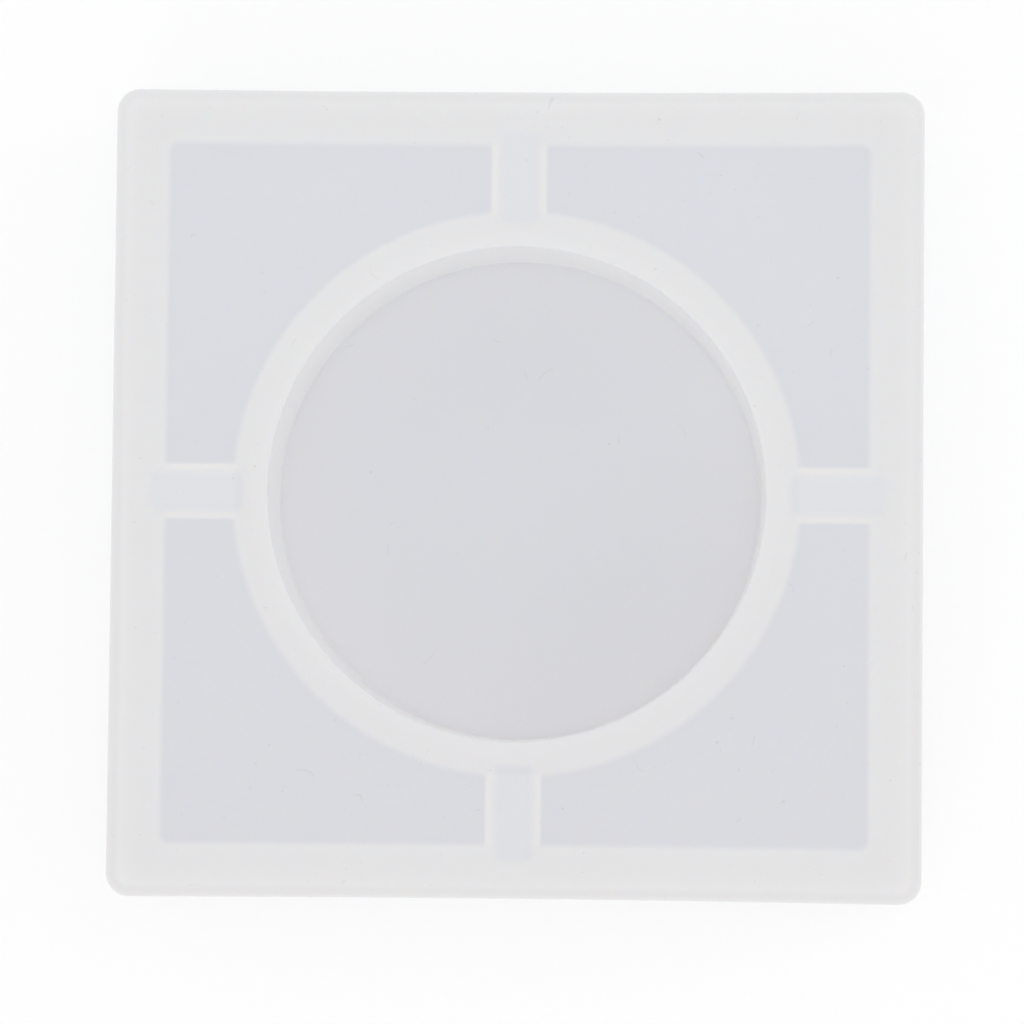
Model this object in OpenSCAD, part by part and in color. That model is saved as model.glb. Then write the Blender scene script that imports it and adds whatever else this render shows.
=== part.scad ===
// Silicone casting mould for a square ashtray with a round bowl and four
// cigarette rests. It stands on its rim with the open side down and the back
// face up. The origin is the centre of the rim plane.
// The mould is one flexible casting, and each module below is one region of
// it. The regions meet face to face and never overlap.

/* [Block] */
// Side length of the square block
mould_w = 120; // [112:1:160]
// Height from the rim to the back face
mould_h = 28; // [27:0.5:45]
// Radius of the four upright outer corners
outer_corner_r = 3.5; // [1:0.5:6]
// Thickness of the four outer walls
wall_t = 7.5; // [4:0.5:9]
// Thickness of the floor between the cavity and the back face
floor_t = 3; // [2:0.5:5]
// Radius of the four upright corners of the cavity
cavity_corner_r = 1.5; // [0.5:0.5:4]

/* [Bowl core] */
// Radius of the core where it meets the floor
core_r = 42.2; // [40.5:0.1:47]
// How much the core's radius shrinks on the way to its end face
core_draft = 1; // [0:0.1:2]
// Radius of the rounded edge around the core's end face
core_edge_r = 2.5; // [0.5:0.5:2.5]
// Thickness of the core's end face
core_face_t = 3; // [2.5:0.5:6]
// Radius of the round recess where it opens in the back face
recess_r = 36.8; // [28:0.1:38]
// How much the recess's radius shrinks on the way to its bottom
recess_draft = 0.2; // [0:0.1:1]
// Depth of the recess below the back face
recess_depth = 18; // [12:0.5:21]

/* [Rest ridges] */
// Width of each ridge, which is the width of a cigarette rest
ridge_w = 8.2; // [7:0.1:9.5]
// How far each ridge stands out from the floor into the cavity
ridge_h = 6.5; // [5.5:0.5:10]
// Width of the relief groove behind each ridge
groove_w = 5.8; // [3:0.1:6.5]
// Depth of the relief groove below the back face
groove_depth = 0.5; // [0.5:0.5:7]
// How far each groove runs on over the outer wall and over the core wall
groove_overlap = 2; // [0.5:0.5:3]
// Radius of the groove's corners, seen from above
groove_corner_r = 1.3; // [0.5:0.1:1.4]

/* [Hidden] */
$fn = 96;

// Extra length by which a cutting shape passes the surface it cuts
past = 1;

half_w = mould_w / 2;
cavity_w = mould_w - 2 * wall_t;
half_cavity = cavity_w / 2;

// Heights of the floor's cavity side, the recess's bottom and the core's end
floor_z = mould_h - floor_t;
recess_z = mould_h - recess_depth;
core_end_z = recess_z - core_face_t;
core_end_r = core_r - core_draft;

// Slope of the core's side from the vertical, and the centre of the rounding
// that is tangent to that side and to the end face
core_slope = atan(core_draft / (floor_z - core_end_z));
core_edge_z = core_end_z + core_edge_r;
core_edge_x = core_end_r + core_edge_r * tan(core_slope) - core_edge_r / cos(core_slope);

// A groove's inner end, outer end and middle, as distances from the axis
groove_in = core_r - groove_overlap;
groove_out = half_cavity + groove_overlap;
groove_mid = (groove_in + groove_out) / 2;

// Turns about the axis that bring a shape from the front to each side
FRONT = 0;
RIGHT = 90;
BACK = 180;
LEFT = 270;

// Milky silicone looks whiter where it is thick and cooler where it is thin
thick_silicone = [0.90, 0.90, 0.90];
thin_silicone = [0.86, 0.87, 0.89];
core_face_silicone = [0.85, 0.85, 0.86];
ridge_silicone = [0.88, 0.89, 0.91];

// A rectangle with round corners, centred on the origin
module rounded_rect(width, length, radius) {
    square([width - 2 * radius, length], center = true);
    square([width, length - 2 * radius], center = true);
    for (x = [-1, 1], y = [-1, 1])
        translate([x * (width / 2 - radius), y * (length / 2 - radius)])
            circle(radius);
}

module cavity_outline() {
    rounded_rect(cavity_w, cavity_w, cavity_corner_r);
}

// Half section of the core taken as solid, from the axis to its outer side
module core_section() {
    polygon([
        [0, core_end_z],
        [core_edge_x, core_end_z],
        [core_edge_x + core_edge_r * cos(core_slope), core_edge_z - core_edge_r * sin(core_slope)],
        [core_r, floor_z],
        [core_r, mould_h],
        [0, mould_h]
    ]);
    translate([core_edge_x, core_edge_z])
        circle(core_edge_r);
}

// Half section of the round recess, narrowing towards its bottom
module recess_section() {
    polygon([
        [0, recess_z],
        [recess_r - recess_draft, recess_z],
        [recess_r, mould_h],
        [recess_r, mould_h + past],
        [0, mould_h + past]
    ]);
}

// Relief groove sunk into the back face behind the ridge on one side
module groove(side) {
    rotate([0, 0, side])
        translate([0, -groove_mid, mould_h - groove_depth])
            linear_extrude(groove_depth + past)
                rounded_rect(groove_w, groove_out - groove_in, groove_corner_r);
}

// Outer wall on one side, with a mitred half of the corner at each end
module wall(side) {
    difference() {
        rotate([0, 0, side])
            linear_extrude(mould_h)
                difference() {
                    intersection() {
                        rounded_rect(mould_w, mould_w, outer_corner_r);
                        polygon([[0, 0], [-half_w, -half_w], [half_w, -half_w]]);
                    }
                    cavity_outline();
                }
        groove(side);
    }
}

// Floor panel in the corner that follows one side, counterclockwise
module floor_panel(side) {
    rotate([0, 0, side])
        translate([0, 0, floor_z])
            linear_extrude(floor_t)
                difference() {
                    intersection() {
                        cavity_outline();
                        translate([ridge_w / 2, -ridge_w / 2 - half_w])
                            square(half_w);
                    }
                    circle(core_r);
                }
}

// Ridge with a round crest, from the core to the outer wall on one side
module rest_ridge(side) {
    crest_z = floor_z - ridge_h + ridge_w / 2;
    difference() {
        rotate([0, 0, side])
            rotate([90, 0, 0])
                linear_extrude(half_cavity)
                    union() {
                        translate([-ridge_w / 2, crest_z])
                            square([ridge_w, mould_h - crest_z]);
                        translate([0, crest_z])
                            circle(ridge_w / 2);
                    }
        rotate_extrude()
            core_section();
        groove(side);
    }
}

module wall_front() {
    color(thick_silicone)
        wall(FRONT);
}

module wall_right() {
    color(thick_silicone)
        wall(RIGHT);
}

module wall_back() {
    color(thick_silicone)
        wall(BACK);
}

module wall_left() {
    color(thick_silicone)
        wall(LEFT);
}

module floor_front_right() {
    color(thin_silicone)
        floor_panel(FRONT);
}

module floor_back_right() {
    color(thin_silicone)
        floor_panel(RIGHT);
}

module floor_back_left() {
    color(thin_silicone)
        floor_panel(BACK);
}

module floor_front_left() {
    color(thin_silicone)
        floor_panel(LEFT);
}

// Side of the core, which shapes the wall of the cast bowl
module bowl_core_wall() {
    color(thick_silicone)
        difference() {
            rotate_extrude()
                difference() {
                    intersection() {
                        core_section();
                        translate([0, recess_z])
                            square([core_r, recess_depth]);
                    }
                    recess_section();
                }
            for (side = [FRONT, RIGHT, BACK, LEFT])
                groove(side);
        }
}

// End of the core, which shapes the bottom of the cast bowl
module bowl_core_face() {
    color(core_face_silicone)
        rotate_extrude()
            intersection() {
                core_section();
                translate([0, core_end_z])
                    square([core_r, core_face_t]);
            }
}

module rest_ridge_front() {
    color(ridge_silicone)
        rest_ridge(FRONT);
}

module rest_ridge_right() {
    color(ridge_silicone)
        rest_ridge(RIGHT);
}

module rest_ridge_back() {
    color(ridge_silicone)
        rest_ridge(BACK);
}

module rest_ridge_left() {
    color(ridge_silicone)
        rest_ridge(LEFT);
}

wall_front();
wall_right();
wall_back();
wall_left();
floor_front_right();
floor_back_right();
floor_back_left();
floor_front_left();
bowl_core_wall();
bowl_core_face();
rest_ridge_front();
rest_ridge_right();
rest_ridge_back();
rest_ridge_left();
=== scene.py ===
"""The looks of a milky silicone casting mould, lying on its rim with its back face up.

The mould is one casting, so one seamless closed skin stands for all its CAD regions: a stack of
closed rings runs from the middle of the bowl core's end, over the ridges and the floor, down the
cavity's walls and up the outside, and one flat sheet joins it to the recess and the grooves.
Shapes are worked out in millimetres from the CAD parts and written in metres.
"""

import math

import bmesh
import bpy
import numpy as np
from mathutils import Euler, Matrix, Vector, geometry


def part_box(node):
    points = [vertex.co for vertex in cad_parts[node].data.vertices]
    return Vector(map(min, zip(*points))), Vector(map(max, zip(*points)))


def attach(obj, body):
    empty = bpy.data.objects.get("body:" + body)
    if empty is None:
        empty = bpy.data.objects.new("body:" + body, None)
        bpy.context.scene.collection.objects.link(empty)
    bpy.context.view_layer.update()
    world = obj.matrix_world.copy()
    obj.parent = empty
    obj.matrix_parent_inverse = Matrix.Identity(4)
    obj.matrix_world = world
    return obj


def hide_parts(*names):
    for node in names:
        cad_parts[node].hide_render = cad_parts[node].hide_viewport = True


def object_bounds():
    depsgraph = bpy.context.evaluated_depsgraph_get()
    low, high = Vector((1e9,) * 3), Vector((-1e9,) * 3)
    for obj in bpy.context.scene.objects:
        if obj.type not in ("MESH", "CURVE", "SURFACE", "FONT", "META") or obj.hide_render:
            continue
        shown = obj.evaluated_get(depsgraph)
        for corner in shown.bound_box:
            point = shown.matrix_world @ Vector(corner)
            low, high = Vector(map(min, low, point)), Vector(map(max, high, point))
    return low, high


MM = 0.001
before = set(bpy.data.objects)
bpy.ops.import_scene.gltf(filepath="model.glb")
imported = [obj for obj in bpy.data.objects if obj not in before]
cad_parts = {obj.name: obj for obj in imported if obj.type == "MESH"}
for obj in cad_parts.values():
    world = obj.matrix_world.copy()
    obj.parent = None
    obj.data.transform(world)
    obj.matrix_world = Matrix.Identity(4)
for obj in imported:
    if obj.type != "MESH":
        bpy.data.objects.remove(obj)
cad_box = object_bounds()


# ---------------------------------------------------------------- sizes, in millimetres


def box_mm(node):
    """Lowest and highest corner of a CAD node."""
    low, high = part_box(node)
    return np.array(low) / MM, np.array(high) / MM


def points_mm(node):
    """Every vertex of a CAD node."""
    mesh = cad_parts[node].data
    return np.array([vertex.co for vertex in mesh.vertices]) / MM


# Smaller lengths count as nothing
TINY = 0.01

HALF_W = cad_box[1].x / MM
TOP_Z = cad_box[1].z / MM
panel_low, panel_high = box_mm("floor_back_right")
RIDGE_HALF_W, FLOOR_Z, HALF_CAVITY = panel_low[0], panel_low[2], panel_high[0]
CREST_Z = box_mm("rest_ridge_right")[0][2]
CORE_R = box_mm("bowl_core_wall")[1][0]
face_low, face_high = box_mm("bowl_core_face")
CORE_END_Z, RECESS_Z = face_low[2], face_high[2]
CORE_SLOPE = (CORE_R - face_high[0]) / (FLOOR_Z - RECESS_Z)

core_points = points_mm("bowl_core_wall")
core_radii = np.hypot(core_points[:, 0], core_points[:, 1])
RECESS_R = core_radii[core_points[:, 2] > TOP_Z - TINY].min()
RECESS_END_R = core_radii[core_points[:, 2] < RECESS_Z + TINY].min()

# A groove's bottom is all that lies between the top and bottom of an outer wall
wall_points = points_mm("wall_right")
inside = (wall_points[:, 2] > TINY) & (wall_points[:, 2] < TOP_Z - TINY)
groove_points = wall_points[inside]
GROOVE_Z = groove_points[:, 2].min()
GROOVE_OUT = groove_points[:, 0].max()
GROOVE_HALF_W = np.abs(groove_points[:, 1]).max()
at_groove = np.abs(core_points[:, 2] - GROOVE_Z) < TINY
GROOVE_IN = core_points[at_groove & (core_points[:, 0] > RECESS_R)][:, 0].min()
GROOVE_MIDDLE = (GROOVE_IN + GROOVE_OUT) / 2
GROOVE_HALF_L = (GROOVE_OUT - GROOVE_IN) / 2

# Corner radii, as in the CAD
OUTER_CORNER_R = 3.5
CAVITY_CORNER_R = 1.5
GROOVE_CORNER_R = 1.3
CORE_EDGE_R = 2.5

# Small roundings that the cast silicone has and the CAD leaves out
TOP_EDGE_R = 0.5
RIM_EDGE_R = 0.5
RECESS_EDGE_R = 0.4
RECESS_FILLET_R = 0.4
GROOVE_SLOPE_W = 2.4
CAVITY_FILLET_R = 0.6
RIDGE_FILLET_R = 1.0

# Width of flat face kept beside a rounding, so that its shading stays in its own strip
FLAT_STRIP_W = 0.8
GROOVE_STRIP_W = 0.6

# How much the flexible casting is drawn in from front to back, halfway between its corners
DRAW_IN = 0.005


# ---------------------------------------------------------------- the skin's mesh


# The triangulation keeps what lies inside its outlines, and merges points this close
INSIDE_ONLY = 1
MERGE_DISTANCE = 1e-5

# Points across each strip of the skin, both of its borders included
ARC_POINTS = 5
CORE_EDGE_POINTS = 7
CORE_SIDE_POINTS = 7
FLOOR_POINTS = 8
CAVITY_SIDE_POINTS = 7
RIM_POINTS = 5
OUTSIDE_POINTS = 8
TOP_EDGE_POINTS = 7
RECESS_ARC_POINTS = 6
GROOVE_SLOPE_POINTS = 10

# Points round the recess and round the table
RECESS_POINTS = 192
TABLE_POINTS = 96


def is_within(point, outline):
    """Whether a point lies inside a closed outline, by counting the edges to its right."""
    x1, y1 = outline.T
    x2, y2 = np.roll(outline, -1, axis=0).T
    spans = (y1 > point[1]) != (y2 > point[1])
    rise = np.where(spans, y2 - y1, 1.0)
    right = x1 + (point[1] - y1) * (x2 - x1) / rise > point[0]
    return np.count_nonzero(spans & right) % 2 == 1


class Skin:
    """Vertices and faces of one surface, gathered ring by ring."""

    def __init__(self):
        self.points = []
        self.faces = []

    def ring(self, points):
        """Adds a closed ring of points and returns its vertex numbers."""
        first = len(self.points)
        self.points.extend(tuple(p) for p in points)
        return list(range(first, len(self.points)))

    def bridge(self, a, b):
        """Joins two rings of the same length with quads."""
        for i in range(len(a)):
            j = (i + 1) % len(a)
            self.faces.append((a[i], a[j], b[j], b[i]))

    def stack(self, rings):
        """Joins rings one after the other and returns the first and the last."""
        numbers = [self.ring(points) for points in rings]
        for a, b in zip(numbers, numbers[1:]):
            self.bridge(a, b)
        return numbers[0], numbers[-1]

    def fan(self, ring, centre):
        """Closes a ring with triangles to one point."""
        middle = self.ring([centre])[0]
        for i in range(len(ring)):
            self.faces.append((ring[i], ring[(i + 1) % len(ring)], middle))

    def sheet(self, outline, holes=()):
        """Fills the flat area inside a ring with triangles, leaving its holes open."""
        loops = [outline, *holes]
        numbers = [n for loop in loops for n in loop]
        edges, first = [], 0
        for loop in loops:
            count = len(loop)
            edges += [(first + i, first + (i + 1) % count) for i in range(count)]
            first += count
        flat = np.array([self.points[n][:2] for n in numbers])
        corners = [Vector(p) for p in flat]
        result = geometry.delaunay_2d_cdt(corners, edges, [], INSIDE_ONLY, MERGE_DISTANCE)
        triangles, origins = result[2], result[3]
        hole_outlines = [np.array([self.points[n][:2] for n in hole]) for hole in holes]
        for triangle in triangles:
            corners = [origins[i][0] for i in triangle]
            middle = flat[corners].mean(axis=0)
            if not any(is_within(middle, hole) for hole in hole_outlines):
                self.faces.append(tuple(numbers[i] for i in corners))


def spread(start, end, count):
    """count evenly spaced values from start to end."""
    return np.linspace(start, end, count)


def between(count):
    """count evenly spaced values from 0 to 1, without the two ends."""
    return spread(0, 1, count)[1:-1]


def lerp(a, b, t):
    """The value at t on the way from a to b."""
    return a + (b - a) * t


def quarter_arc(count=ARC_POINTS):
    """Sine and cosine at count evenly spaced angles from 0 to 90 degrees."""
    return [(math.sin(a), math.cos(a)) for a in np.radians(spread(0, 90, count))]


# Columns run across the skin from one side's middle to the corner diagonal. The first ones
# follow the ridge's section, the next ones the floor panel, and the last ones the corner.
CREST_POINTS = 11
FLANK_POINTS = 3
FOOT_POINTS = 6
PANEL_COLUMNS = 12
CORNER_COLUMNS = 5


def ridge_section():
    """Half of a ridge's section, from its crest to the floor: rows of y, z and outward normal."""
    rows = []
    centre_z = CREST_Z + RIDGE_HALF_W
    for a in np.radians(spread(0, 90, CREST_POINTS)):
        n = (math.sin(a), -math.cos(a))
        rows.append((RIDGE_HALF_W * n[0], centre_z + RIDGE_HALF_W * n[1], *n))
    foot_z = FLOOR_Z - RIDGE_FILLET_R
    for z in spread(centre_z, foot_z, FLANK_POINTS)[1:]:
        rows.append((RIDGE_HALF_W, z, 1.0, 0.0))
    for b in np.radians(spread(0, 90, FOOT_POINTS)[1:]):
        n = (math.cos(b), -math.sin(b))
        y = RIDGE_HALF_W + RIDGE_FILLET_R * (1 - n[0])
        rows.append((y, foot_z - RIDGE_FILLET_R * n[1], *n))
    return np.array(rows)


section = ridge_section()
RIDGE_COLUMNS = len(section)
COLUMNS = RIDGE_COLUMNS + PANEL_COLUMNS + CORNER_COLUMNS
FOOT_Y = section[-1, 0]


def with_rest(ridge_values, rest_value):
    """Values for the ridge's columns, followed by one value for all the other columns."""
    return np.concatenate([ridge_values, np.full(COLUMNS - RIDGE_COLUMNS, rest_value)])


is_ridge = np.arange(COLUMNS) < RIDGE_COLUMNS
column_y = with_rest(section[:, 0], 0.0)
column_z = with_rest(section[:, 1], FLOOR_Z)
normal_y = with_rest(section[:, 2], 0.0)
normal_z = with_rest(section[:, 3], -1.0)

# Where the ridges' and the floor's fillets meet the core's side and the cavity's side
fillet_y = column_y + normal_y * CAVITY_FILLET_R
fillet_z = column_z + normal_z * CAVITY_FILLET_R

# Away from a ridge, its columns are evenly spread over the width of its foot
even_y = with_rest(spread(0, FOOT_Y, RIDGE_COLUMNS), 0.0)
foot_angle = math.asin(FOOT_Y / CORE_R)
panel_angle = spread(foot_angle, math.pi / 4, PANEL_COLUMNS + CORNER_COLUMNS + 1)[1:]
column_angle = np.concatenate([np.zeros(RIDGE_COLUMNS), panel_angle])


def round_plan(radius, ridge_y):
    """Plan of a circle: the ridge's columns at ridge_y, the others at their own angle."""
    radius = np.broadcast_to(radius, (COLUMNS,))
    ridge_x = np.sqrt(np.maximum(radius**2 - ridge_y**2, 0))
    x = np.where(is_ridge, ridge_x, radius * np.cos(column_angle))
    y = np.where(is_ridge, ridge_y, radius * np.sin(column_angle))
    return x, y


def even_plan(radius):
    """Plan of a circle away from the ridges."""
    return round_plan(radius, radius * np.sin(even_y / CORE_R))


def square_plan(half, corner, ridge_y):
    """Plan of a square with round corners: ridge columns at ridge_y, the others to the diagonal."""
    straight = half - corner
    x, y = np.full(COLUMNS, float(half)), np.array(ridge_y, float)
    panel = slice(RIDGE_COLUMNS, RIDGE_COLUMNS + PANEL_COLUMNS)
    y[panel] = spread(FOOT_Y, straight, PANEL_COLUMNS + 1)[1:]
    turn = np.radians(spread(0, 45, CORNER_COLUMNS + 1)[1:])
    x[panel.stop :] = straight + corner * np.cos(turn)
    y[panel.stop :] = straight + corner * np.sin(turn)
    return x, y


def inset_plan(off):
    """Plan of the outside, moved in by off."""
    return square_plan(HALF_W - off, OUTER_CORNER_R - off, even_y)


# Cosine and sine of each quarter turn
QUARTER_TURNS = ((1, 0), (0, 1), (-1, 0), (0, -1))


def turned(x, y, quarters):
    """Plan positions after a number of quarter turns about the axis."""
    c, s = QUARTER_TURNS[quarters]
    return x * c - y * s, x * s + y * c


def all_round(x, y, z):
    """A whole ring from the columns of one half side, by mirroring and four quarter turns."""
    half = np.stack([x, y, np.broadcast_to(z, (COLUMNS,))], axis=1)
    side = np.concatenate([half[:0:-1] * (1, -1, 1), half[:-1]])
    ring = []
    for quarters in range(4):
        side_x, side_y = turned(side[:, 0], side[:, 1], quarters)
        ring.append(np.stack([side_x, side_y, side[:, 2]], axis=1))
    return np.concatenate(ring)


def core_radius(z):
    """Radius of the core's tapered side at a height."""
    return CORE_R - CORE_SLOPE * np.maximum(FLOOR_Z - z, 0)


# Shares of the way from the middle to the border of the core's end and of the recess's bottom
END_SHARES = (0.12, 0.3, 0.5, 0.7, 0.88)
BOTTOM_SHARES = (0.97, 0.75, 0.5, 0.25)


def core_rings():
    """Rings out over the core's flat end, round its edge and along its side."""
    rings = []
    slope = math.atan(CORE_SLOPE)
    edge_z = CORE_END_Z + CORE_EDGE_R
    edge_x = core_radius(edge_z) - CORE_EDGE_R / math.cos(slope)
    for share in END_SHARES:
        rings.append(all_round(*even_plan(edge_x * share), CORE_END_Z))
    for a in spread(-math.pi / 2, -slope, CORE_EDGE_POINTS):
        radius = edge_x + CORE_EDGE_R * math.cos(a)
        rings.append(all_round(*even_plan(radius), edge_z + CORE_EDGE_R * math.sin(a)))
    low_z = edge_z - CORE_EDGE_R * math.sin(slope)
    low_y = even_plan(core_radius(low_z))[1]
    for t in between(CORE_SIDE_POINTS):
        z = lerp(low_z, fillet_z, t)
        rings.append(all_round(*round_plan(core_radius(z), lerp(low_y, fillet_y, t)), z))
    return rings


def floor_rings():
    """Rings out of the core's side, along the ridges and the floor, and into the cavity's side."""
    rings = []
    fillet = CAVITY_FILLET_R
    for sine, cosine in quarter_arc()[::-1]:
        drop = fillet * (1 - cosine)
        z = column_z + normal_z * drop
        radius = core_radius(z) + fillet * (1 - sine)
        rings.append(all_round(*round_plan(radius, column_y + normal_y * drop), z))
    near_x, near_y = round_plan(core_radius(column_z) + fillet, column_y)
    far_x, far_y = square_plan(HALF_CAVITY - fillet, CAVITY_CORNER_R - fillet, column_y)
    for t in between(FLOOR_POINTS):
        rings.append(all_round(lerp(near_x, far_x, t), lerp(near_y, far_y, t), column_z))
    for sine, cosine in quarter_arc():
        drop, off = fillet * (1 - cosine), fillet * (1 - sine)
        plan = square_plan(HALF_CAVITY - off, CAVITY_CORNER_R - off, column_y + normal_y * drop)
        rings.append(all_round(*plan, column_z + normal_z * drop))
    return rings


def rim_rings():
    """Rings down the cavity's side, round its mouth and across the rim."""
    rings = []
    for t in between(CAVITY_SIDE_POINTS):
        plan = square_plan(HALF_CAVITY, CAVITY_CORNER_R, lerp(fillet_y, even_y, t))
        rings.append(all_round(*plan, lerp(fillet_z, RIM_EDGE_R, t)))
    for sine, cosine in quarter_arc():
        out = RIM_EDGE_R * (1 - cosine)
        plan = square_plan(HALF_CAVITY + out, CAVITY_CORNER_R + out, even_y)
        rings.append(all_round(*plan, RIM_EDGE_R * (1 - sine)))
    inner = square_plan(HALF_CAVITY + RIM_EDGE_R, CAVITY_CORNER_R + RIM_EDGE_R, even_y)
    outer = inset_plan(RIM_EDGE_R)
    for t in between(RIM_POINTS):
        rings.append(all_round(lerp(inner[0], outer[0], t), lerp(inner[1], outer[1], t), 0))
    return rings


def outside_rings():
    """Rings round the rim's outer edge, up the outside and round the back face's edge."""
    rings = []
    for sine, cosine in quarter_arc():
        plan = inset_plan(RIM_EDGE_R * (1 - sine))
        rings.append(all_round(*plan, RIM_EDGE_R * (1 - cosine)))
    for z in spread(RIM_EDGE_R, TOP_Z - TOP_EDGE_R, OUTSIDE_POINTS)[1:-1]:
        rings.append(all_round(*inset_plan(0), z))
    for sine, cosine in quarter_arc(TOP_EDGE_POINTS):
        plan = inset_plan(TOP_EDGE_R * (1 - cosine))
        rings.append(all_round(*plan, TOP_Z - TOP_EDGE_R * (1 - sine)))
    rings.append(all_round(*inset_plan(TOP_EDGE_R + FLAT_STRIP_W), TOP_Z))
    return rings


def circle(radius, z, count):
    """A ring of evenly spaced points on a circle about the axis."""
    turn = spread(0, 2 * math.pi, count + 1)[:-1]
    return np.stack([radius * np.cos(turn), radius * np.sin(turn), np.full(count, z)], 1)


# Most height of one row of faces on the recess's wall
RECESS_ROW_H = 3


def recess_rings():
    """Rings from just outside the recess, over its edge, down its wall and in over its bottom."""
    edge_r, fillet_r = RECESS_EDGE_R, RECESS_FILLET_R
    levels = [(RECESS_R + edge_r + FLAT_STRIP_W, TOP_Z)]
    for sine, cosine in quarter_arc(RECESS_ARC_POINTS):
        levels.append((RECESS_R + edge_r * (1 - sine), TOP_Z - edge_r * (1 - cosine)))
    high, low = TOP_Z - edge_r, RECESS_Z + fillet_r
    rows = 1 + int((high - low) / RECESS_ROW_H)
    for t in between(rows + 1):
        levels.append((lerp(RECESS_R, RECESS_END_R, t), lerp(high, low, t)))
    for sine, cosine in quarter_arc(RECESS_ARC_POINTS):
        levels.append((RECESS_END_R - fillet_r * (1 - cosine), low - fillet_r * sine))
    for share in BOTTOM_SHARES:
        levels.append((share * RECESS_END_R, RECESS_Z))
    return [circle(radius, z, RECESS_POINTS) for radius, z in levels]


# Points round one corner of a groove, and pieces along its long and its short straights
CORNER_POINTS = 7
STRAIGHT_PIECES = (8, 4)


def groove_outline(offset, z, side):
    """A groove's rounded outline, grown by offset, on one of the four sides."""
    corner = max(GROOVE_CORNER_R + offset, TINY)
    shrink = min(GROOVE_CORNER_R + offset, 0)
    along = GROOVE_HALF_L - GROOVE_CORNER_R + shrink
    across = GROOVE_HALF_W - GROOVE_CORNER_R + shrink
    points = []
    for k, (sx, sy) in enumerate(((1, 1), (-1, 1), (-1, -1), (1, -1))):
        for a in np.radians(spread(90 * k, 90 * k + 90, CORNER_POINTS)):
            points.append((sx * along + corner * math.cos(a), sy * across + corner * math.sin(a)))
    dense = []
    for i, p in enumerate(points):
        q = points[(i + 1) % len(points)]
        k, step = divmod(i, CORNER_POINTS)
        pieces = STRAIGHT_PIECES[k % 2] if step == CORNER_POINTS - 1 else 1
        dense += [(lerp(p[0], q[0], t), lerp(p[1], q[1], t)) for t in spread(0, 1, pieces + 1)[:-1]]
    xy = np.array(dense) + (GROOVE_MIDDLE, 0)
    x, y = turned(xy[:, 0], xy[:, 1], side)
    return np.stack([x, y, np.full(len(x), z)], 1)


def groove_rings(side):
    """A shallow groove whose sides slope down softly."""
    levels = [(GROOVE_SLOPE_W / 2 + GROOVE_STRIP_W, TOP_Z)]
    for t in spread(0, 1, GROOVE_SLOPE_POINTS):
        down = (TOP_Z - GROOVE_Z) * t * t * (3 - 2 * t)
        levels.append((GROOVE_SLOPE_W * (0.5 - t), TOP_Z - down))
    return [groove_outline(offset, z, side) for offset, z in levels]


def build_skin():
    """The whole casting's surface: the underside and outside, the recess and the grooves."""
    skin = Skin()
    rings = core_rings() + floor_rings() + rim_rings() + outside_rings()
    first, top_edge = skin.stack(rings)
    skin.fan(first, (0, 0, CORE_END_Z))
    recess_edge, recess_last = skin.stack(recess_rings())
    skin.fan(recess_last, (0, 0, RECESS_Z))
    groove_edges = []
    for side in range(4):
        edge, last = skin.stack(groove_rings(side))
        groove_edges.append(edge)
        skin.sheet(last)
    skin.sheet(top_edge, [recess_edge, *groove_edges])
    return skin


def soften(points):
    """Draws the front and the back in at their middles, as on the flexible casting."""
    bent = points.copy()
    bent[:, 1] *= 1 - DRAW_IN * (1 - (points[:, 0] / HALF_W) ** 2)
    return bent


def make_object(name, skin):
    """A smooth object from a skin, with faces turned outward and flat areas kept flat."""
    mesh = bpy.data.meshes.new(name)
    points = soften(np.array(skin.points)) * MM
    mesh.from_pydata([tuple(p) for p in points], [], skin.faces)
    work = bmesh.new()
    work.from_mesh(mesh)
    bmesh.ops.recalc_face_normals(work, faces=work.faces)
    work.to_mesh(mesh)
    work.free()
    mesh.shade_smooth()
    obj = bpy.data.objects.new(name, mesh)
    bpy.context.scene.collection.objects.link(obj)
    obj.modifiers.new("flat areas stay flat", "WEIGHTED_NORMAL")
    return obj


# ---------------------------------------------------------------- materials


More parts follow.
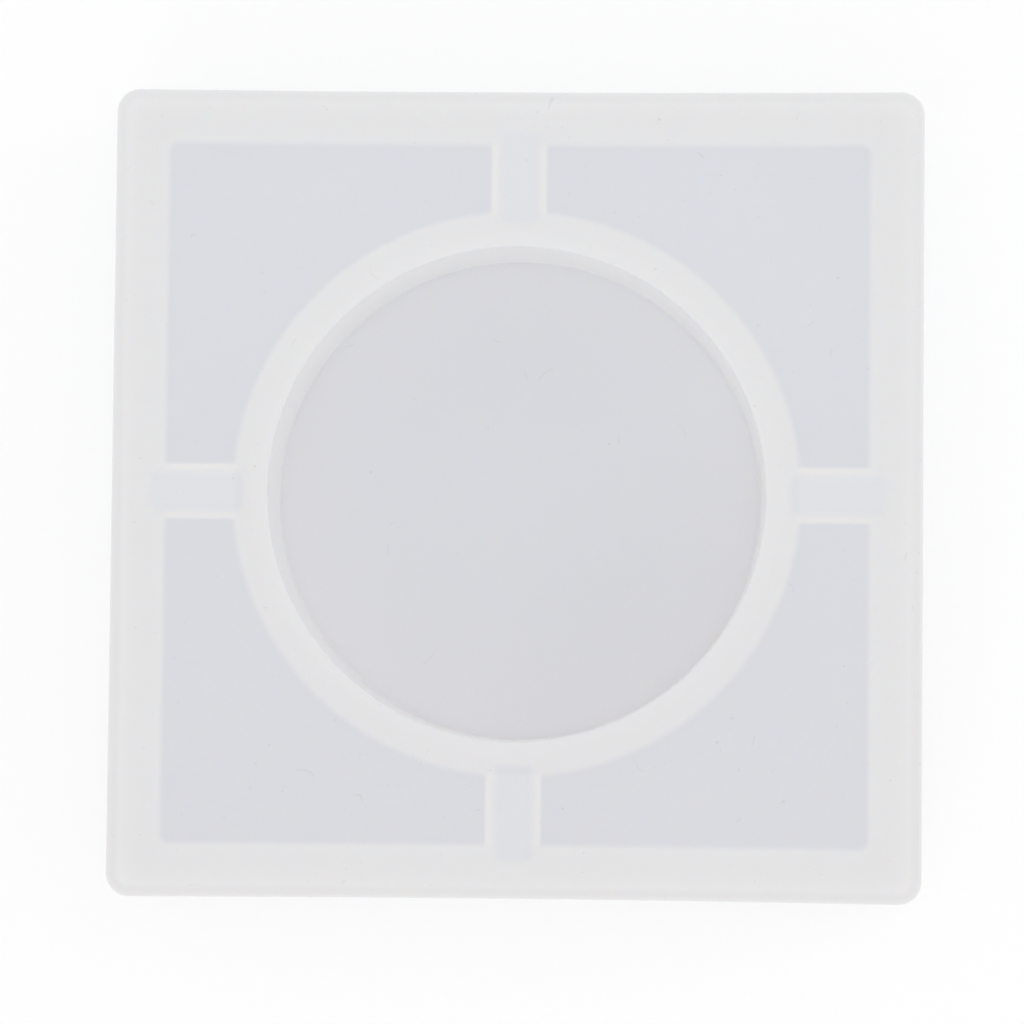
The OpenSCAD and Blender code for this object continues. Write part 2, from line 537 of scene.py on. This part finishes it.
class Shader:
    """Short ways to add nodes to a material and join them."""

    def __init__(self, name):
        self.material = bpy.data.materials.new(name)
        self.material.use_nodes = True
        self.tree = self.material.node_tree
        self.tree.nodes.clear()

    def put(self, node, key, value):
        """Sets one of a node's inputs, or joins it to another node's output."""
        if isinstance(value, bpy.types.NodeSocket):
            self.tree.links.new(value, node.inputs[key])
        else:
            node.inputs[key].default_value = value

    def add(self, kind, inputs=(), **settings):
        """A node with its inputs set or joined, by name or by number."""
        node = self.tree.nodes.new(kind)
        for key, value in settings.items():
            setattr(node, key, value)
        pairs = inputs.items() if isinstance(inputs, dict) else enumerate(inputs)
        for key, value in pairs:
            self.put(node, key, value)
        return node

    def math(self, operation, *values):
        """The result of a sum, product or other operation on numbers."""
        return self.add("ShaderNodeMath", values, operation=operation).outputs[0]

    def both(self, a, b):
        """Where two masks overlap."""
        return self.math("MULTIPLY", a, b)

    def either(self, a, b):
        """Where at least one of two masks is."""
        return self.math("MAXIMUM", a, b)

    def apart(self, a, b):
        """How far two numbers are apart."""
        return self.math("ABSOLUTE", self.math("SUBTRACT", a, b))

    def length(self, u, v):
        """Distance of a point from the origin of a plane."""
        squares = self.math("ADD", self.math("MULTIPLY", u, u), self.math("MULTIPLY", v, v))
        return self.math("SQRT", squares)

    def outline_distance(self, u, v, half_u, half_v, radius):
        """Millimetres outside a rounded rectangle, and below 0 within it, near its outline."""
        over_u = self.math("MAXIMUM", self.math("SUBTRACT", u, half_u - radius), 0.0)
        over_v = self.math("MAXIMUM", self.math("SUBTRACT", v, half_v - radius), 0.0)
        return self.math("SUBTRACT", self.length(over_u, over_v), radius)

    def step(self, value, start, end):
        """0 before start and 1 after end, with a smooth change between them."""
        ends = {"Value": value, "From Min": start, "From Max": end}
        node = self.add("ShaderNodeMapRange", ends, interpolation_type="SMOOTHSTEP")
        return node.outputs["Result"]

    def even_change(self, value, limits, results):
        """The first result at the lower limit and the second at the upper one, in a line."""
        ends = {"From Min": limits[0], "From Max": limits[1]}
        ends |= {"To Min": results[0], "To Max": results[1]}
        return self.add("ShaderNodeMapRange", {"Value": value, **ends}).outputs["Result"]

    def depth_step(self, z, start, end):
        """0 at one depth below the back face and 1 at another, with a smooth change between."""
        return self.step(z, TOP_Z - start, TOP_Z - end)

    def noise(self, place, scale, detail=2.0, roughness=0.5):
        """Noise from about 0.25 to 0.75, with scale in features per millimetre."""
        inputs = {"Vector": place, "Scale": scale, "Detail": detail, "Roughness": roughness}
        return self.add("ShaderNodeTexNoise", inputs).outputs["Fac"]

    def mix(self, share, a, b, blend="MIX"):
        """Colour a where share is 0, and colour b or its blend with a where share is 1."""
        node = self.add("ShaderNodeMix", data_type="RGBA", blend_type=blend)
        for key, value in ((0, share), (6, a), (7, b)):
            self.put(node, key, value)
        return node.outputs[2]

    def place_mm(self):
        """The point's place in the row frame, in millimetres."""
        place = self.add("ShaderNodeTexCoord").outputs["Object"]
        inputs = {"Vector": place, "Scale": 1 / MM}
        return self.add("ShaderNodeVectorMath", inputs, operation="SCALE").outputs[0]

    def finish(self, surface):
        """The material, with its surface joined to the output."""
        output = self.add("ShaderNodeOutputMaterial")
        self.tree.links.new(surface, output.inputs["Surface"])
        return self.material


def colour(red, green, blue):
    """An opaque colour."""
    return (red, green, blue, 1.0)


THICK_COLOUR = colour(0.955, 0.965, 1.0)
# Painted shade: the thin floor panels greyer and cooler, for the hollow seen through them
THIN_PAINTED_SHADE = colour(0.847, 0.863, 0.911)
# Painted shade in the grooves, greyer and cooler than the thick silicone
GROOVE_PAINTED_SHADE = colour(0.903, 0.926, 0.97)
# Painted light along the ridges' side walls, as lit from the cavity on both sides
RIDGE_LINE_PAINTED_LIGHT = colour(0.985, 0.975, 0.975)
# Painted light on the recess's wall
RECESS_WALL_PAINTED_LIGHT = colour(1.0, 1.0, 1.0)
# Painted shade on the recess's disc, and painted light near its wall
DISC_PAINTED_SHADE = colour(0.833, 0.85, 0.89)
DISC_EDGE_PAINTED_LIGHT = colour(0.905, 0.912, 0.937)
# Painted shade on the back face's edge and on the sides
BACK_EDGE_PAINTED_SHADE = colour(0.895, 0.9, 0.915)
SIDE_PAINTED_SHADE = colour(0.83, 0.842, 0.862)
# Painted shade, darker towards the front, on all of the casting and more on the core's wall
FRONT_PAINTED_SHADE = colour(0.988, 0.976, 0.974)
CORE_FRONT_PAINTED_SHADE = colour(0.965, 0.96, 0.962)
# Painted shade at the back of the recess's disc
DISC_BACK_PAINTED_SHADE = colour(0.987, 0.984, 0.988)
CLOUD_COLOUR = colour(0.6, 0.6, 0.6)
DUST_COLOUR = colour(0.3, 0.28, 0.25)
TABLE_DARK = colour(0.955, 0.955, 0.955)
TABLE_LIGHT = colour(0.965, 0.965, 0.965)

# The painted light and shade have soft borders, and the values from here to SIDE_DEPTH say where,
# in millimetres.
# Half the width over which a panel's painted shade fades at the outer walls and the core, and at a
# ridge
BORDER_SOFT = 0.65
RIDGE_SOFT = 0.3

# How far light from the outer walls spreads over a panel, and how far a panel's painted shade goes
# on over the core
FRAME_SPILL = 0.4
CORE_SPILL = 0.3

# Height below the ridges' crests over which the painted shade of the thin areas fades out
CREST_BORDER_H = 2

# Distance outside the groove's outline at which its painted shade starts and is full
GROOVE_BORDER = (0.5, -0.9)

# Half the width of the painted light line along a ridge's side wall, and of its brightest part
LINE_HALF_W = 0.6
LINE_BRIGHT_HALF_W = 0.1

# Width over which the core's painted front shade starts, inside the core, and the recess's painted
# light and shade fade out, outside the recess
CORE_BORDER_W = 1
RECESS_BORDER_W = 0.5

# Depth below the back face at which the recess's painted light and shade start and are full, and
# height above its bottom over which the wall's painted light changes to the disc's painted shade
RECESS_DEPTH = (0.2, 2.2)
DISC_BORDER_H = 0.4

# How sharply the disc's painted light grows near the wall
DISC_EDGE_POWER = 4.0

# Distance behind the middle at which the disc's painted shade starts and is darkest, and how much
# that direction leans to the right, so below 0 to the left
DISC_BACK = (0, 30)
DISC_BACK_LEAN = -0.4

# Distance outside the block's outline, and depth below the back face, at which the painted shade of
# the back face's edge and that of the sides start and are full
EDGE_BORDER = (-2.2, -0.9)
EDGE_DEPTH = (1.5, 0.5)
SIDE_BORDER = (-0.5, -0.1)
SIDE_DEPTH = (0.6, 3)

# Features per millimetre of each fine pattern
CLOUD_SCALE = 0.045
SPECK_SCALE = 1.3
CURVE_SCALE = 0.2
PATCH_SCALE = 0.23
SHEEN_SCALE = 0.12
GRAIN_SCALE = 1.6
TABLE_SCALE = 0.5

# Noise values at which each pattern starts and is full. The curve's are distances from 0.5
CLOUD_LIMITS = (0.3, 0.7)
SPECK_LIMITS = (0.762, 0.812)
CURVE_LIMITS = (0.011, 0.003)
PATCH_LIMITS = (0.765, 0.795)

# How strongly each pattern tints the silicone
CLOUD_SHARE = 0.02
SPECK_SHARE = 0.16
FIBRE_SHARE = 0.11

# Share of the light that sinks in, and the same where the silicone has faces on both sides, and
# how far red, green and blue light spread in it, in millimetres
SINK_SHARE = 0.6
DENSE_SINK_SHARE = 0.1
SPREAD_MM = (3.2, 2.8, 2.4)

# Roughness where the sheen's noise is at the low and the high end of its usual range
NOISE_RANGE = (0.25, 0.75)
ROUGHNESS_RANGE = (0.40, 0.52)

# Index of refraction of silicone
SILICONE_IOR = 1.41

# Height of the silicone's grain and of the table's, in millimetres
GRAIN_H = 0.05
TABLE_GRAIN_H = 0.02


class Place:
    """Where a shaded point is, in millimetres, with the draw-in undone.

    x and y are its distances from the middle, whichever the direction. away is the larger of
    them, and across the smaller. behind is how far it is behind the middle, and the masks
    to_front and high are 1 at the front and above the ridges' crests.
    """

    def __init__(self, shader, place):
        split = shader.add("ShaderNodeSeparateXYZ", [place])
        x, y, self.z = (split.outputs[i] for i in range(3))
        self.to_front = shader.step(y, HALF_W, -HALF_W)
        self.behind = shader.math("MULTIPLY_ADD", x, DISC_BACK_LEAN, y)
        share = shader.math("DIVIDE", x, HALF_W)
        from_corner = shader.math("SUBTRACT", 1.0, shader.math("MULTIPLY", share, share))
        undo = shader.math("MULTIPLY_ADD", from_corner, DRAW_IN, 1.0)
        self.x = shader.math("ABSOLUTE", x)
        self.y = shader.math("ABSOLUTE", shader.math("MULTIPLY", y, undo))
        self.away = shader.math("MAXIMUM", self.x, self.y)
        self.across = shader.math("MINIMUM", self.x, self.y)
        self.radius = shader.length(self.x, self.y)
        self.high = shader.step(self.z, CREST_Z - CREST_BORDER_H, CREST_Z)


def cavity_mask(shader, at):
    """The area between the core and the outer walls, with soft borders."""
    half = HALF_CAVITY - FRAME_SPILL
    to_frame = shader.outline_distance(at.x, at.y, half, half, CAVITY_CORNER_R)
    within_frame = shader.step(to_frame, BORDER_SOFT, -BORDER_SOFT)
    core = CORE_R - CORE_SPILL
    off_core = shader.step(at.radius, core - BORDER_SOFT, core + BORDER_SOFT)
    return shader.both(within_frame, off_core)


def panel_shade_mask(shader, at, cavity):
    """The thin floor panels, which show through the flat face, where painted shade stands for the
    hollow under them.
    """
    off_ridge = shader.step(at.across, RIDGE_HALF_W - RIDGE_SOFT, RIDGE_HALF_W + RIDGE_SOFT)
    return shader.both(shader.both(cavity, off_ridge), at.high)


def ridge_line_light_mask(shader, at, cavity):
    """Painted light along the side walls of each ridge, as lit from the cavity on both sides."""
    from_line = shader.apart(at.across, (GROOVE_HALF_W + RIDGE_HALF_W) / 2)
    line = shader.step(from_line, LINE_HALF_W, LINE_BRIGHT_HALF_W)
    return shader.both(shader.both(cavity, line), at.high)


def groove_shade_mask(shader, at):
    """The relief grooves behind the ridges, with painted shade, greyer and cooler than the thick
    silicone.
    """
    along = shader.apart(at.away, GROOVE_MIDDLE)
    sizes = (GROOVE_HALF_L, GROOVE_HALF_W, GROOVE_CORNER_R)
    to_groove = shader.outline_distance(along, at.across, *sizes)
    return shader.both(shader.step(to_groove, *GROOVE_BORDER), at.high)


def add_recess(shader, at, base):
    """A wall brightened with painted light round a disc greyed with painted shade, which is painted
    lighter near the wall and darker at the back.
    """
    within = shader.step(at.radius, RECESS_R + RECESS_BORDER_W, RECESS_R)
    in_recess = shader.both(within, shader.depth_step(at.z, *RECESS_DEPTH))
    border_z = RECESS_Z + DISC_BORDER_H
    wall = shader.both(in_recess, shader.step(at.z, RECESS_Z, border_z))
    # Painted light on the recess's wall
    base = shader.mix(wall, base, RECESS_WALL_PAINTED_LIGHT)
    disc = shader.both(in_recess, shader.step(at.z, border_z, RECESS_Z))
    # Painted shade on the disc, painted lighter near the wall and darker at the back
    share = shader.math("DIVIDE", at.radius, RECESS_END_R)
    to_wall = shader.math("POWER", share, DISC_EDGE_POWER)
    disc_colour = shader.mix(to_wall, DISC_PAINTED_SHADE, DISC_EDGE_PAINTED_LIGHT)
    at_back = shader.step(at.behind, *DISC_BACK)
    disc_colour = shader.mix(at_back, disc_colour, DISC_BACK_PAINTED_SHADE, "MULTIPLY")
    return shader.mix(disc, base, disc_colour), wall


def add_outside(shader, at, base):
    """Painted shade: a duller edge round the back face, and greyer sides, where light sinks into
    the walls.
    """
    to_side = shader.outline_distance(at.x, at.y, HALF_W, HALF_W, OUTER_CORNER_R)
    near_top = shader.depth_step(at.z, *EDGE_DEPTH)
    edge = shader.both(shader.step(to_side, *EDGE_BORDER), near_top)
    base = shader.mix(edge, base, BACK_EDGE_PAINTED_SHADE)
    below_edge = shader.depth_step(at.z, *SIDE_DEPTH)
    sides = shader.both(shader.step(to_side, *SIDE_BORDER), below_edge)
    return shader.mix(sides, base, SIDE_PAINTED_SHADE)


def silicone_colour(shader, place):
    """White where the casting is thick, with painted shade, cooler and greyer, where the light
    leaks through it, and painted light and shade on the ridges' walls, the grooves, the recess, the
    edges, the sides and towards the front.

    Also returns a mask of the parts where light sinks in less, because they have faces on both
    sides to send it back.
    """
    at = Place(shader, place)
    cavity = cavity_mask(shader, at)
    # Painted shade on the thin floor panels, for the hollow under them
    base = shader.mix(panel_shade_mask(shader, at, cavity), THICK_COLOUR, THIN_PAINTED_SHADE)
    line = ridge_line_light_mask(shader, at, cavity)
    # Painted light along the ridges' side walls
    base = shader.mix(line, base, RIDGE_LINE_PAINTED_LIGHT)
    groove = groove_shade_mask(shader, at)
    # Painted shade in the grooves
    base = shader.mix(groove, base, GROOVE_PAINTED_SHADE)

    # Painted shade: the core's wall a little greyer at the front, and all of the casting a little
    # darker and yellower towards the front
    within = shader.step(at.radius, CORE_R, CORE_R - CORE_BORDER_W)
    in_core = shader.both(within, at.high)
    front_core = shader.both(in_core, at.to_front)
    base = shader.mix(front_core, base, CORE_FRONT_PAINTED_SHADE, "MULTIPLY")
    base, recess_wall_light = add_recess(shader, at, base)
    base = add_outside(shader, at, base)
    # Painted shade, darker and yellower towards the front
    base = shader.mix(at.to_front, base, FRONT_PAINTED_SHADE, "MULTIPLY")
    return base, shader.either(shader.either(line, groove), recess_wall_light)


def add_dust(shader, place, base):
    """Faint clouds in the casting, and a little dust and a few short fibres on it."""
    clouds = shader.step(shader.noise(place, CLOUD_SCALE, 3.0), *CLOUD_LIMITS)
    base = shader.mix(shader.math("MULTIPLY", clouds, CLOUD_SHARE), base, CLOUD_COLOUR)
    specks = shader.step(shader.noise(place, SPECK_SCALE, 1.0), *SPECK_LIMITS)
    base = shader.mix(shader.math("MULTIPLY", specks, SPECK_SHARE), base, DUST_COLOUR)

    # A fibre is a short piece of one of the curves where a noise passes through its middle value
    from_curve = shader.apart(shader.noise(place, CURVE_SCALE, 0.0), 0.5)
    curve = shader.step(from_curve, *CURVE_LIMITS)
    patch = shader.step(shader.noise(place, PATCH_SCALE, 0.0), *PATCH_LIMITS)
    fibres = shader.both(curve, patch)
    return shader.mix(shader.math("MULTIPLY", fibres, FIBRE_SHARE), base, DUST_COLOUR)


def silicone_material():
    """Milky silicone: light soaks in and spreads, so thin parts let some of it through."""
    shader = Shader("milky silicone")
    place = shader.place_mm()
    base, dense = silicone_colour(shader, place)
    base = add_dust(shader, place, base)
    sinks_in = shader.even_change(dense, (0, 1), (SINK_SHARE, DENSE_SINK_SHARE))
    sheen = shader.noise(place, SHEEN_SCALE, 3.0)
    roughness = shader.even_change(sheen, NOISE_RANGE, ROUGHNESS_RANGE)
    grain = shader.noise(place, GRAIN_SCALE, 3.0, 0.6)
    relief = {"Strength": 0.25, "Distance": GRAIN_H * MM, "Height": grain}
    bump = shader.add("ShaderNodeBump", relief)
    surface = shader.add("ShaderNodeBsdfPrincipled", {
        "Base Color": base,
        "Roughness": roughness,
        "IOR": SILICONE_IOR,
        "Normal": bump.outputs["Normal"],
        "Subsurface Weight": sinks_in,
        "Subsurface Radius": SPREAD_MM,
        "Subsurface Scale": MM,
    })
    return shader.finish(surface.outputs[0])


def floor_material():
    """A white light table, faintly lit from below, with the faintest unevenness."""
    shader = Shader("white table")
    place = shader.place_mm()
    fibres = shader.noise(place, TABLE_SCALE, 4.0)
    base = shader.mix(fibres, TABLE_DARK, TABLE_LIGHT)
    relief = {"Strength": 0.1, "Distance": TABLE_GRAIN_H * MM, "Height": fibres}
    bump = shader.add("ShaderNodeBump", relief)
    surface = shader.add("ShaderNodeBsdfPrincipled", {
        "Base Color": base,
        "Roughness": 0.9,
        "Emission Color": colour(1.0, 1.0, 1.0),
        "Emission Strength": TABLE_GLOW,
        "Normal": bump.outputs["Normal"],
    })
    return shader.finish(surface.outputs[0])


# ---------------------------------------------------------------- camera, floor and light


# The camera's place in millimetres, and its turn in degrees
CAMERA_PLACE = (20.1, -36.4, TOP_Z + 600)
CAMERA_TURN = (3.225, 1.94, 0.572)
LENS_MM = 143.2
SENSOR_MM = 36

# Radii of the table's rings, in metres
TABLE_RADII = (0.2, 0.8, 3.0)

# Places in metres of the soft boxes, their width and their power in watts
FRONT_LIGHT_PLACE = (-0.25, -1.1, 0.5)
RIGHT_LIGHT_PLACE = (1.1, 0.25, 0.5)
SOFT_BOX_W = 0.6
SOFT_BOX_POWER = 0.42

# Strength of the even light, of the backdrop as the camera sees it, and of the table's own glow
WORLD_LIGHT = 0.812
BACKDROP_WHITE = 1.0
TABLE_GLOW = 0.2


def add_camera():
    """Almost straight above the back face, a little to the front and right, as photographed."""
    data = bpy.data.cameras.new("photo camera")
    data.sensor_width = SENSOR_MM
    data.lens = LENS_MM
    data.clip_start = 0.01
    data.clip_end = 20
    camera = bpy.data.objects.new("photo camera", data)
    camera.location = Vector(CAMERA_PLACE) * MM
    camera.rotation_euler = Euler(np.radians(CAMERA_TURN), "XYZ")
    bpy.context.scene.collection.objects.link(camera)
    bpy.context.scene.camera = camera


def add_floor():
    """A wide round table top that the rim stands on."""
    skin = Skin()
    first, _ = skin.stack([circle(radius, 0, TABLE_POINTS) for radius in TABLE_RADII])
    skin.fan(first, (0, 0, 0))
    mesh = bpy.data.meshes.new("table")
    mesh.from_pydata(skin.points, [], skin.faces)
    obj = bpy.data.objects.new("table", mesh)
    bpy.context.scene.collection.objects.link(obj)
    obj.data.materials.append(floor_material())
    return obj


def add_light(name, place):
    """A round soft box that faces the mould."""
    data = bpy.data.lights.new(name, "AREA")
    data.shape = "DISK"
    data.size = SOFT_BOX_W
    data.energy = SOFT_BOX_POWER
    light = bpy.data.objects.new(name, data)
    light.location = place
    light.rotation_euler = (-Vector(place)).to_track_quat("-Z", "Y").to_euler()
    bpy.context.scene.collection.objects.link(light)


def add_world():
    """Even light from all around, with a backdrop as white as the lit table."""
    world = bpy.data.worlds.new("studio")
    world.use_nodes = True
    tree = world.node_tree
    background = tree.nodes["Background"]
    background.inputs["Color"].default_value = colour(1.0, 1.0, 1.0)
    rays = tree.nodes.new("ShaderNodeLightPath")
    strength = tree.nodes.new("ShaderNodeMapRange")
    strength.inputs["To Min"].default_value = WORLD_LIGHT
    strength.inputs["To Max"].default_value = BACKDROP_WHITE
    tree.links.new(rays.outputs["Is Camera Ray"], strength.inputs["Value"])
    tree.links.new(strength.outputs["Result"], background.inputs["Strength"])
    bpy.context.scene.world = world


add_camera()
skin_object = make_object("silicone_casting", build_skin())
skin_object.data.materials.append(silicone_material())
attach(skin_object, "root")
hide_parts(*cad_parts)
add_floor()
add_world()
add_light("front soft box", FRONT_LIGHT_PLACE)
add_light("right soft box", RIGHT_LIGHT_PLACE)
bpy.context.scene.view_settings.view_transform = "Standard"

# Light in white silicone bounces more often than the usual four times before it dies away
bpy.context.scene.cycles.diffuse_bounces = 10
